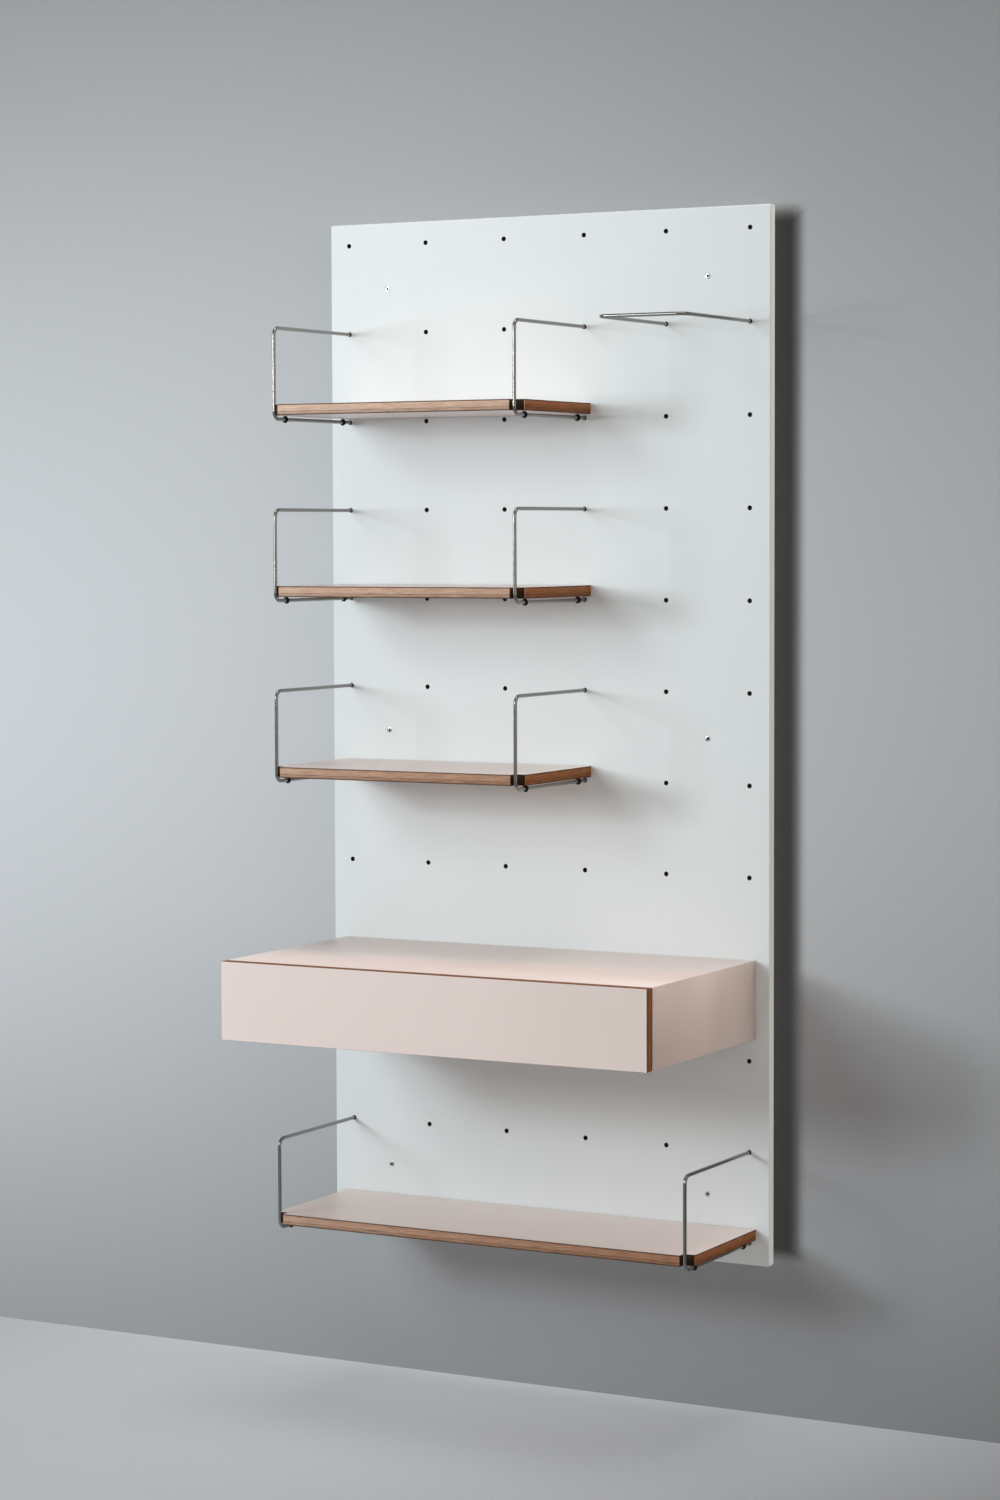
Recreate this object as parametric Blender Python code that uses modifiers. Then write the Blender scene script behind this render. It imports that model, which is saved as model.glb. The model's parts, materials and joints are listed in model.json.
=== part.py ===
"""Wall-hung pegboard with wire shelf brackets, a hanging rail and a drawer.

The board stands off the wall on six spacers and is held by six countersunk
screws. Its grid of holes takes the straight ends of U-shaped steel wires:
pairs of them carry a shelf on rubber rings, and one lies flat as a rail.
A drawer case is bolted on from behind. Units are metres and +Z is up. X = 0
is the board's middle, Y = 0 the wall, with the room on the -Y side, and
Z = 0 the board's lower edge.
"""
import math

import bmesh
import bpy
from mathutils import Matrix, Vector

# ---------------------------------------------------------------- board
COLUMNS = 6
ROWS = 12
PITCH = 0.150
MARGIN_SIDE = 0.036
MARGIN_END = 0.036
BOARD_THICKNESS = 0.018
BOARD_EDGE_RADIUS = 0.0015
BOARD_EDGE_STEPS = 2
HOLE_DIAMETER = 0.008
HOLE_SIDES = 12
STANDOFF = 0.025

# ---------------------------------------------------------------- wall fixings
# Each fixing stands in the middle of a grid cell, named here by the
# column and row of the cell's upper left hole.
SCREW_CELLS = [(0, 0), (4, 0), (0, 5), (4, 5), (0, 10), (4, 10)]
SCREW_LENGTH = 0.070
SCREW_SHANK_DIAMETER = 0.0045
SCREW_HEAD_DIAMETER = 0.0095
SCREW_HEAD_RECESS = 0.0002
SCREW_POINT_LENGTH = 0.006
SCREW_SIDES = 12
SOCKET_DIAMETER = 0.0038
SOCKET_DEPTH = 0.0016
SPACER_DIAMETER = 0.022
SPACER_BORE_DIAMETER = 0.006
SPACER_SIDES = 20

# ---------------------------------------------------------------- wires
WIRE_DIAMETER = 0.006
WIRE_REACH = 0.244
WIRE_BEND_RADIUS = 0.013
WIRE_BEND_STEPS = 5
PEG_LENGTH = 0.030

# ---------------------------------------------------------------- rings
RING_SECTION = 0.0025
RING_BEHIND_UPRIGHT = 0.034
RING_OFF_BOARD = 0.0245
RING_SIDES = 12
RING_SECTION_SIDES = 6

# ---------------------------------------------------------------- shelves
SHELF_THICKNESS = 0.018
SHELF_OVERHANG = 0.0125
SHELF_OFF_BOARD = 0.001
NOTCH_INSIDE_UPRIGHT = 0.0075
NOTCH_BEHIND_UPRIGHT = 0.012

# ---------------------------------------------------------------- drawer case
CASE_ROW = 8
CASE_OVERHANG = 0.011
CASE_HEIGHT = 0.129
CASE_ABOVE_ROW = 0.0157
CASE_DEPTH = 0.3812
CASE_WALL = 0.022
CASE_BACK_THICKNESS = 0.012
CASE_BOLT_COLUMNS = [1, 4]
CASE_BOLT_DIAMETER = 0.006
CASE_BOLT_HEAD_DIAMETER = 0.011
CASE_BOLT_HEAD_HEIGHT = 0.005
CASE_BOLT_BITE = 0.030
CASE_BOLT_SIDES = 12

# ---------------------------------------------------------------- drawer
FRONT_THICKNESS = 0.018
FRONT_GAP = 0.0025
FRONT_EDGE_BEVEL = 0.0008
BOX_WALL = 0.012
BOX_FLOOR_THICKNESS = 0.006
BOX_LENGTH = 0.3472
BOX_FLOOR_CLEARANCE = 0.006
BOX_TOP_CLEARANCE = 0.011
RUNNER_THICKNESS = 0.0127
RUNNER_HEIGHT = 0.045
RUNNER_LENGTH = 0.340
RUNNER_SHEET = 0.0015
RUNNER_BALL_GAP = 0.0008
RUNNER_SETBACK = 0.003

# ---------------------------------------------------------------- push latch
LATCH_DIAMETER = 0.014
LATCH_LENGTH = 0.014
LATCH_BORE_DEPTH = 0.011
PLUNGER_DIAMETER = 0.007
PLUNGER_CLEARANCE = 0.0004
PLUNGER_TRAVEL = 0.004
PLUNGER_TO_BOX = 0.0005
LATCH_SIDES = 16

# ---------------------------------------------------------------- fits
SEAT_GAP = 0.0003
MITRE_GAP = 0.0004
BORE_CLEARANCE = 0.0005

BOARD_WIDTH = (COLUMNS - 1) * PITCH + 2 * MARGIN_SIDE
BOARD_HEIGHT = (ROWS - 1) * PITCH + 2 * MARGIN_END
BOARD_FRONT = -(STANDOFF + BOARD_THICKNESS)
RING_RADIUS = WIRE_DIAMETER / 2 + SEAT_GAP + RING_SECTION / 2

for old in list(bpy.data.objects):
    bpy.data.objects.remove(old, do_unlink=True)

parts = bpy.data.collections.new("pegboard_wall")
cutters = bpy.data.collections.new("cutters")
for collection in (parts, cutters):
    bpy.context.scene.collection.children.link(collection)
cutters.hide_render = True


def column_x(column):
    """X of a column of holes, the first being at the left."""
    return (column - (COLUMNS - 1) / 2) * PITCH


def row_z(row):
    """Z of a row of holes, the first being at the top."""
    return MARGIN_END + (ROWS - 1 - row) * PITCH


def hole(column, row):
    """Where a hole's axis meets the board's front face."""
    return Vector((column_x(column), BOARD_FRONT, row_z(row)))


def finish(name, colour, roughness, metallic=0.0):
    """A plain Principled material."""
    material = bpy.data.materials.new(name)
    material.use_nodes = True
    shader = material.node_tree.nodes["Principled BSDF"]
    shader.inputs["Base Color"].default_value = (*colour, 1.0)
    shader.inputs["Roughness"].default_value = roughness
    shader.inputs["Metallic"].default_value = metallic
    return material


WHITE_LACQUER = finish("white_lacquer", (0.72, 0.76, 0.76), 0.55)
PINK_LAMINATE = finish("pink_laminate", (0.72, 0.54, 0.50), 0.5)
BIRCH_PLY = finish("birch_ply", (0.45, 0.26, 0.14), 0.6)
STEEL_WIRE = finish("steel_wire", (0.45, 0.43, 0.40), 0.35, 1.0)
BLACK_RUBBER = finish("black_rubber", (0.02, 0.02, 0.02), 0.7)
ZINC_STEEL = finish("zinc_steel", (0.55, 0.56, 0.58), 0.35, 1.0)
BLACK_NYLON = finish("black_nylon", (0.03, 0.03, 0.03), 0.5)
GREY_PLASTIC = finish("grey_plastic", (0.30, 0.30, 0.31), 0.45)


def add(name, data, material, location=(0, 0, 0), parent=None, collection=parts):
    """Link an object made from mesh or curve data."""
    obj = bpy.data.objects.new(name, data)
    if material and not data.materials:
        data.materials.append(material)
    obj.location = location
    obj.parent = parent
    collection.objects.link(obj)
    return obj


def carriage(name, location):
    """An empty on a joint's axis that carries the pieces moving along it."""
    obj = bpy.data.objects.new(name, None)
    obj.empty_display_size = 0.02
    obj.location = location
    parts.objects.link(obj)
    return obj


def block(name, size, centre, material, parent=None, collection=parts):
    """A rectangular panel, given by its size and its centre."""
    mesh = bpy.data.meshes.new(name)
    bm = bmesh.new()
    bmesh.ops.create_cube(bm, size=1.0, matrix=Matrix.Diagonal((*size, 1.0)))
    bm.to_mesh(mesh)
    bm.free()
    return add(name, mesh, material, centre, parent, collection)


def span_block(name, low, high, material, parent=None):
    """A rectangular panel between two opposite corners."""
    low, high = Vector(low), Vector(high)
    return block(name, high - low, (low + high) / 2, material, parent)


def soften(obj, width, segments):
    """Round an object's sharp edges."""
    bevel = obj.modifiers.new("rounded_edges", "BEVEL")
    bevel.width = width
    bevel.segments = segments
    bevel.limit_method = "ANGLE"
    return obj


def outline_prism(name, outline, thickness, material, location=(0, 0, 0), parent=None):
    """A flat outline given in its own X and Y, as thick as stated along Z."""
    curve = bpy.data.curves.new(name, "CURVE")
    curve.dimensions = "2D"
    curve.fill_mode = "BOTH"
    curve.extrude = thickness / 2
    spline = curve.splines.new("POLY")
    spline.points.add(len(outline) - 1)
    for point, (x, y) in zip(spline.points, outline):
        point.co = (x, y, 0.0, 1.0)
    spline.use_cyclic_u = True
    return add(name, curve, material, location, parent)


def face_room(obj):
    """Turn an object so that its own +Z points into the room, its +Y up."""
    obj.rotation_euler = (math.pi / 2, 0, 0)
    return obj


def turned(name, profile, sides, material, location=(0, 0, 0), parent=None, closed=False,
           collection=parts):
    """A turned piece from (radius, height) points, run down its outer side."""
    mesh = bpy.data.meshes.new(name)
    points = [(radius, 0.0, height) for radius, height in profile]
    edges = [(i, i + 1) for i in range(len(points) - 1)]
    if closed:
        edges.append((len(points) - 1, 0))
    mesh.from_pydata(points, edges, [])
    obj = add(name, mesh, material, location, parent, collection)
    screw = obj.modifiers.new("turned", "SCREW")
    screw.steps = sides
    screw.render_steps = sides
    screw.use_merge_vertices = True
    screw.merge_threshold = 0.00001
    screw.use_smooth_shade = True
    return face_room(obj)


def cut(obj, cutter):
    """Take a cutter's shape out of an object."""
    cutter.hide_render = True
    cutter.display_type = "WIRE"
    boolean = obj.modifiers.new("cut_" + cutter.name, "BOOLEAN")
    boolean.operation = "DIFFERENCE"
    boolean.object = cutter


def as_mesh(obj):
    """Replace a curve object by the same shape as a welded mesh."""
    bpy.context.view_layer.update()
    evaluated = obj.evaluated_get(bpy.context.evaluated_depsgraph_get())
    mesh = bpy.data.meshes.new_from_object(evaluated)
    bm = bmesh.new()
    bm.from_mesh(mesh)
    bmesh.ops.remove_doubles(bm, verts=bm.verts, dist=0.00001)
    bmesh.ops.recalc_face_normals(bm, faces=bm.faces)
    bm.to_mesh(mesh)
    bm.free()
    name, place = obj.name, obj.matrix_world.copy()
    material = obj.data.materials[0]
    bpy.data.objects.remove(obj, do_unlink=True)
    mesh.materials.clear()
    new = add(name, mesh, material)
    new.matrix_world = place
    return new


def screw_places():
    """Name and place of each wall fixing, on the wall plane."""
    heights = ["top", "middle", "bottom"]
    sides = ["left", "right"]
    for index, (column, row) in enumerate(SCREW_CELLS):
        label = heights[index // 2] + "_" + sides[index % 2]
        x = column_x(column) + PITCH / 2
        z = row_z(row) - PITCH / 2
        yield label, Vector((x, 0.0, z))


def screw_sizes(clearance=0.0):
    """Head and shank radius of a wall screw, and the heights of its head.

    The head's cone is a right-angled one. Heights count from the wall plane,
    and a clearance widens cone and shank alike.
    """
    head = SCREW_HEAD_DIAMETER / 2 + clearance
    shank = SCREW_SHANK_DIAMETER / 2 + clearance
    top = -BOARD_FRONT - SCREW_HEAD_RECESS
    return head, shank, top, top - (head - shank)


def make_board():
    """The board with its grid of through holes and six countersunk ones."""
    centre = (0, BOARD_FRONT + BOARD_THICKNESS / 2, BOARD_HEIGHT / 2)
    board = block("board", (BOARD_WIDTH, BOARD_THICKNESS, BOARD_HEIGHT), centre, WHITE_LACQUER)
    soften(board, BOARD_EDGE_RADIUS, BOARD_EDGE_STEPS)
    mesh = bpy.data.meshes.new("peg_holes")
    bm = bmesh.new()
    across = Matrix.Rotation(math.pi / 2, 4, "X")
    for column in range(COLUMNS):
        for row in range(ROWS):
            place = Matrix.Translation(hole(column, row) + Vector((0, BOARD_THICKNESS / 2, 0)))
            bmesh.ops.create_cone(bm, cap_ends=True, segments=HOLE_SIDES,
                                  radius1=HOLE_DIAMETER / 2, radius2=HOLE_DIAMETER / 2,
                                  depth=2 * BOARD_THICKNESS, matrix=place @ across)
    bm.to_mesh(mesh)
    bm.free()
    cut(board, add("peg_holes", mesh, None, collection=cutters))
    head, shank, top, neck = screw_sizes(BORE_CLEARANCE)
    profile = [(0, top + head), (2 * head, top + head), (shank, neck),
               (shank, STANDOFF / 2), (0, STANDOFF / 2)]
    for label, place in screw_places():
        cut(board, turned("countersink_" + label, profile, SCREW_SIDES, None, place,
                          collection=cutters))
    return board


def make_wall_fixings():
    """Six countersunk screws and the spacers that they pass through."""
    head, shank, top, neck = screw_sizes()
    tip = top - SCREW_LENGTH
    profile = [(0, top), (head, top), (shank, neck), (shank, tip + SCREW_POINT_LENGTH),
               (0, tip)]
    sleeve = STANDOFF - SEAT_GAP
    outer, bore = SPACER_DIAMETER / 2, SPACER_BORE_DIAMETER / 2
    ring = [(outer, sleeve), (outer, 0), (bore, 0), (bore, sleeve)]
    for label, place in screw_places():
        screw = turned("wall_screw_" + label, profile, SCREW_SIDES, ZINC_STEEL, place)
        socket = block("socket_" + label, (1, 1, 1), place, None, collection=cutters)
        bm = bmesh.new()
        bmesh.ops.create_cone(bm, cap_ends=True, segments=6, radius1=SOCKET_DIAMETER / 2,
                              radius2=SOCKET_DIAMETER / 2, depth=2 * SOCKET_DEPTH,
                              matrix=Matrix.Translation((0, 0, top)))
        bm.to_mesh(socket.data)
        bm.free()
        cut(screw, face_room(socket))
        turned("wall_spacer_" + label, ring, SPACER_SIDES, BLACK_NYLON, place, closed=True)


def wire_path(across):
    """Points of a U wire: in along one leg, over its bar and out again.

    `across` runs from the first leg to the second, and the path starts in
    the first leg's hole, measured from where its axis meets the board.
    """
    along = across.normalized()
    out = Vector((0, -1, 0))
    points = [out * -PEG_LENGTH]
    first = out * (WIRE_REACH - WIRE_BEND_RADIUS) + along * WIRE_BEND_RADIUS
    second = first + across - 2 * along * WIRE_BEND_RADIUS
    turns = [math.radians(90) * i / WIRE_BEND_STEPS for i in range(WIRE_BEND_STEPS + 1)]
    for angle in turns:
        bend = out * math.sin(angle) - along * math.cos(angle)
        points.append(first + bend * WIRE_BEND_RADIUS)
    for angle in reversed(turns):
        bend = out * math.sin(angle) + along * math.cos(angle)
        points.append(second + bend * WIRE_BEND_RADIUS)
    points.append(across - out * PEG_LENGTH)
    return points


def make_wire(name, place, across):
    """A bent steel wire whose two straight ends stand in the board's holes."""
    curve = bpy.data.curves.new(name, "CURVE")
    curve.dimensions = "3D"
    curve.bevel_depth = WIRE_DIAMETER / 2
    curve.bevel_resolution = 2
    curve.use_fill_caps = True
    path = wire_path(across)
    spline = curve.splines.new("POLY")
    spline.points.add(len(path) - 1)
    for point, on_path in zip(spline.points, path):
        point.co = (*on_path, 1.0)
    return add(name, curve, STEEL_WIRE, place)


def ring_mesh():
    """A rubber ring around a leg, with its axis along its own Z."""
    bpy.ops.mesh.primitive_torus_add(major_segments=RING_SIDES,
                                     minor_segments=RING_SECTION_SIDES,
                                     major_radius=RING_RADIUS,
                                     minor_radius=RING_SECTION / 2)
    made = bpy.context.object
    mesh = made.data
    bpy.data.objects.remove(made, do_unlink=True)
    mesh.shade_smooth()
    return mesh


def make_bracket(label, column, row, mesh):
    """A wire hung upright, and the two rings on its lower leg."""
    bracket = make_wire("bracket_" + label, hole(column, row + 1), Vector((0, 0, PITCH)))
    places = {"front": WIRE_REACH - RING_BEHIND_UPRIGHT, "back": RING_OFF_BOARD}
    for end, distance in places.items():
        face_room(add("ring_" + label + "_" + end, mesh, BLACK_RUBBER,
                      (0, -distance, 0), bracket))


def make_shelf(name, left, right, row):
    """A shelf laid on the rings, cut out at both front corners."""
    base = row_z(row) + RING_RADIUS + RING_SECTION / 2 + SEAT_GAP
    low_x = column_x(left) - SHELF_OVERHANG
    high_x = column_x(right) + SHELF_OVERHANG
    back = BOARD_FRONT - SHELF_OFF_BOARD
    front = BOARD_FRONT - WIRE_REACH - WIRE_DIAMETER / 2
    inner_left = column_x(left) + NOTCH_INSIDE_UPRIGHT
    inner_right = column_x(right) - NOTCH_INSIDE_UPRIGHT
    step = BOARD_FRONT - WIRE_REACH + NOTCH_BEHIND_UPRIGHT
    outline = [(low_x, back), (low_x, step), (inner_left, step), (inner_left, front),
               (inner_right, front), (inner_right, step), (high_x, step), (high_x, back)]
    return outline_prism(name, outline, SHELF_THICKNESS, BIRCH_PLY,
                         (0, 0, base + SHELF_THICKNESS / 2))


def make_shelf_units():
    """Four shelves, each with its pair of brackets."""
    mesh = ring_mesh()
    units = [("top", 0, 3, 1), ("second", 0, 3, 3), ("third", 0, 3, 5), ("wide", 0, 5, 10)]
    for label, left, right, row in units:
        make_bracket(label + "_left", left, row, mesh)
        make_bracket(label + "_right", right, row, mesh)
        make_shelf("shelf_" + label, left, right, row + 1)


def make_rail():
    """The same wire laid flat, as a rail to hang things on."""
    make_wire("hanging_rail", hole(4, 1), Vector((PITCH, 0, 0)))


class Case:
    """The drawer case's outer faces, and its inner faces."""

    left = column_x(0) - CASE_OVERHANG
    right = column_x(COLUMNS - 1) + CASE_OVERHANG
    top = row_z(CASE_ROW) + CASE_ABOVE_ROW
    bottom = top - CASE_HEIGHT
    back = BOARD_FRONT - SEAT_GAP
    front = back - CASE_DEPTH
    inner_left = left + CASE_WALL
    inner_right = right - CASE_WALL
    inner_top = top - CASE_WALL
    inner_bottom = bottom + CASE_WALL
    back_panel = back - CASE_BACK_THICKNESS


def case_panel(name, outline):
    """A mitred panel of the case, given by its outline seen from the room."""
    middle = (Case.front + Case.back) / 2
    panel = outline_prism(name, outline, CASE_DEPTH, PINK_LAMINATE, (0, middle, 0))
    return face_room(panel)


def make_case():
    """Four mitred panels round a back panel, bolted on through the board."""
    c = Case
    low, high = c.left + MITRE_GAP, c.right - MITRE_GAP
    top = case_panel("case_top", [(low, c.top), (low + CASE_WALL, c.inner_top),
                                  (high - CASE_WALL, c.inner_top), (high, c.top)])
    case_panel("case_bottom", [(low, c.bottom), (high, c.bottom),
                               (high - CASE_WALL, c.inner_bottom),
                               (low + CASE_WALL, c.inner_bottom)])
    case_panel("case_left", [(c.left, c.bottom), (c.inner_left, c.inner_bottom),
                             (c.inner_left, c.inner_top), (c.left, c.top)])
    case_panel("case_right", [(c.right, c.bottom), (c.right, c.top),
                              (c.inner_right, c.inner_top), (c.inner_right, c.inner_bottom)])
    span_block("case_back",
               (c.inner_left + SEAT_GAP, c.back_panel, c.inner_bottom + SEAT_GAP),
               (c.inner_right - SEAT_GAP, c.back, c.inner_top - SEAT_GAP), PINK_LAMINATE)
    top = as_mesh(top)
    shank, head = CASE_BOLT_DIAMETER / 2, CASE_BOLT_HEAD_DIAMETER / 2
    seat = STANDOFF - SEAT_GAP
    tip = -BOARD_FRONT + CASE_BOLT_BITE
    bolt = [(0, tip), (shank, tip), (shank, seat), (head, seat),
            (head, seat - CASE_BOLT_HEAD_HEIGHT), (0, seat - CASE_BOLT_HEAD_HEIGHT)]
    end, wide = tip + 4 * BORE_CLEARANCE, shank + BORE_CLEARANCE
    bore = [(0, end), (wide, end), (wide, seat), (0, seat)]
    for label, column in zip(("left", "right"), CASE_BOLT_COLUMNS):
        place = Vector((column_x(column), 0, row_z(CASE_ROW)))
        turned("case_bolt_" + label, bolt, CASE_BOLT_SIDES, ZINC_STEEL, place)
        cut(top, turned("bolt_bore_" + label, bore, CASE_BOLT_SIDES, None, place,
                        collection=cutters))


def make_drawer():
    """The overlaid front and the open box behind it."""
    c = Case
    box_front = c.front - FRONT_GAP
    box_back = box_front + BOX_LENGTH
    slide = carriage("drawer_slide", (0, box_front, (c.top + c.bottom) / 2))
    half_height = CASE_HEIGHT / 2
    half_width = (c.right - c.left) / 2
    front = span_block("drawer_front", (-half_width, -FRONT_THICKNESS, -half_height),
                       (half_width, 0, half_height), PINK_LAMINATE, slide)
    soften(front, FRONT_EDGE_BEVEL, 1)
    side = c.inner_right - RUNNER_THICKNESS
    inside = side - BOX_WALL
    low = c.inner_bottom + BOX_FLOOR_CLEARANCE - slide.location.z
    high = c.inner_top - BOX_TOP_CLEARANCE - slide.location.z
    wall_foot = low + BOX_FLOOR_THICKNESS + SEAT_GAP
    y_low, y_high = SEAT_GAP, box_back - box_front
    span_block("drawer_side_left", (-side, y_low, wall_foot), (-inside, y_high, high),
               BIRCH_PLY, slide)
    span_block("drawer_side_right", (inside, y_low, wall_foot), (side, y_high, high),
               BIRCH_PLY, slide)
    span_block("drawer_back", (-inside + SEAT_GAP, y_high - BOX_WALL, wall_foot),
               (inside - SEAT_GAP, y_high, high), BIRCH_PLY, slide)
    span_block("drawer_floor", (-side, y_low, low), (side, y_high, low + BOX_FLOOR_THICKNESS),
               BIRCH_PLY, slide)
    make_runners(slide, side)
    make_latch(box_back)


def channel(height, depth, mirror):
    """Outline of a channel that opens to +X, or to -X where mirror is -1."""
    half, inner = height / 2, height / 2 - RUNNER_SHEET
    outline = [(0, -half), (depth, -half), (depth, -inner), (RUNNER_SHEET, -inner),
               (RUNNER_SHEET, inner), (depth, inner), (depth, half), (0, half)]
    return [(mirror * x, z) for x, z in outline[::int(mirror)]]


def make_runners(slide, side):
    """On each side a fixed channel on the case, and the drawer's inside it."""
    c = Case
    middle = (c.inner_top + c.inner_bottom) / 2
    y = c.front + RUNNER_SETBACK + RUNNER_LENGTH / 2
    depth = RUNNER_THICKNESS - 2 * SEAT_GAP - RUNNER_SHEET - RUNNER_BALL_GAP
    inner_height = RUNNER_HEIGHT - 2 * (RUNNER_SHEET + RUNNER_BALL_GAP)
    for label, sign in (("left", -1), ("right", 1)):
        wall = sign * (c.inner_right - SEAT_GAP)
        face_room(outline_prism("runner_fixed_" + label,
                                channel(RUNNER_HEIGHT, depth, -sign), RUNNER_LENGTH,
                                ZINC_STEEL, (wall, y, middle)))
        web = sign * (side + SEAT_GAP)
        face_room(outline_prism("runner_sliding_" + label,
                                channel(inner_height, depth, sign), RUNNER_LENGTH,
                                ZINC_STEEL, (web, y - slide.location.y, middle - slide.location.z),
                                slide))


def make_latch(box_back):
    """A push latch: a bored body on the case back and its sprung plunger."""
    c = Case
    seat = -c.back_panel + SEAT_GAP
    mouth = seat + LATCH_LENGTH
    outer, bore = LATCH_DIAMETER / 2, PLUNGER_DIAMETER / 2 + PLUNGER_CLEARANCE
    z = (c.inner_top + c.inner_bottom) / 2
    bore_end = mouth - LATCH_BORE_DEPTH
    body = [(0, bore_end), (bore, bore_end), (bore, mouth), (outer, mouth), (outer, seat),
            (0, seat)]
    turned("push_latch_body", body, LATCH_SIDES, GREY_PLASTIC, (0, 0, z))
    radius = PLUNGER_DIAMETER / 2
    tip = -box_back - PLUNGER_TO_BOX
    heel = bore_end + PLUNGER_TRAVEL
    plunger = [(0, tip), (radius, tip), (radius, heel), (0, heel)]
    turned("push_latch_plunger", plunger, LATCH_SIDES, GREY_PLASTIC, (0, 0, z))


make_board()
make_wall_fixings()
make_shelf_units()
make_rail()
make_case()
make_drawer()
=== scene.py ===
import json
import math

import bmesh
import bpy
import numpy as np
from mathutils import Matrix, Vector


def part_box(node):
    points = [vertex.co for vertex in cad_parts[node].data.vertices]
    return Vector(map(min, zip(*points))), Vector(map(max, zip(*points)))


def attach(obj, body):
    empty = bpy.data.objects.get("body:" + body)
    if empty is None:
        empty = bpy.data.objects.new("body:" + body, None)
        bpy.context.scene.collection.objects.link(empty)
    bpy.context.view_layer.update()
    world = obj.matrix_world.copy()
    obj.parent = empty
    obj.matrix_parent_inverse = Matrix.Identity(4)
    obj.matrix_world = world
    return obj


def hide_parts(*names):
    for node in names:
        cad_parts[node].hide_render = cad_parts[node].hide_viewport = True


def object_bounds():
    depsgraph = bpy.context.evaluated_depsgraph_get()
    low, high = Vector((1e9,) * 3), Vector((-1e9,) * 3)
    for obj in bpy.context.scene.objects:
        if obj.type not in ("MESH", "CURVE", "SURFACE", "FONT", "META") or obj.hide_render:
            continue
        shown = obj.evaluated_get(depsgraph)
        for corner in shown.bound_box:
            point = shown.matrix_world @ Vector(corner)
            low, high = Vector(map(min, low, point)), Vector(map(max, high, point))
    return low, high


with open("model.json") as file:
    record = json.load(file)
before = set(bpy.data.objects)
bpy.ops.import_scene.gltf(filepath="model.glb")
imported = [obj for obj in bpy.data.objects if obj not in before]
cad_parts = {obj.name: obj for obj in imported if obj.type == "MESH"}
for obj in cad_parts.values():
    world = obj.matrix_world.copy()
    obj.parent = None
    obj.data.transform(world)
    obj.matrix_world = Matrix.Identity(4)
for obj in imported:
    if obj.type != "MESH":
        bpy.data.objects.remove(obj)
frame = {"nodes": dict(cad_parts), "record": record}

cad_low, cad_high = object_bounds()
box = {node: tuple(np.array(corner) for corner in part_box(node)) for node in frame["nodes"]}
bodies = frame["record"]["behaviour"]["bodies"]
X, Y, Z = np.eye(3)

# ------------------------------------------------------------ the pegboard
# One 18 mm board, drilled with a grid of peg holes and six countersunk ones
# for the wall screws. Its arrises are rounded over, then it is lacquered
# matte white. The bores are near black, a painted shade in the holes.

PITCH = 0.150
MARGIN = 0.036
PEG_HOLE_RADIUS = 0.0040
BOARD_CORNER = 0.0030
BOARD_ARRIS = 0.0015
HOLE_LIP = 0.0003
LAND = 0.010
SUNK_HEAD_RADIUS = 0.00505
SUNK_SHANK_RADIUS = 0.00275
MERGE_WITHIN = 2e-6


def grid(rows, columns, closed_rows=False, closed_columns=False):
    """Quads between neighbouring points of a grid of rows and columns.

    Point number = row x columns + column. A closed direction joins its
    last line to its first.
    """
    r = np.arange(rows if closed_rows else rows - 1)[:, None]
    c = np.arange(columns if closed_columns else columns - 1)[None, :]
    r2, c2 = (r + 1) % rows, (c + 1) % columns
    corners = np.broadcast_arrays(r * columns + c, r * columns + c2,
                                  r2 * columns + c2, r2 * columns + c)
    return np.stack(corners, axis=-1).reshape(-1, 4)


def carried(profile, stations, outward, axis):
    """A profile carried past a row of stations.

    Point = station + offset x outward + height x axis, for each (offset,
    height) of the profile at each station.
    """
    offset, height = np.asarray(profile, float).T
    return (stations[:, None] + offset[None, :, None] * outward[:, None]
            + height[None, :, None] * np.asarray(axis, float)).reshape(-1, 3)


def rounded(radius, steps=4):
    """A quarter round from the face (0, 0) to the side (radius, radius)."""
    t = np.linspace(0, math.pi / 2, steps + 1)
    return np.stack([radius * np.sin(t), radius * (1 - np.cos(t))], axis=-1)


def circle(sides, start=0.0):
    """Unit vectors all round an axis along Y: cos a x X + sin a x Z."""
    a = start + np.linspace(0, 2 * math.pi, sides, endpoint=False)
    return np.cos(a)[:, None] * X + np.sin(a)[:, None] * Z


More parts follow.
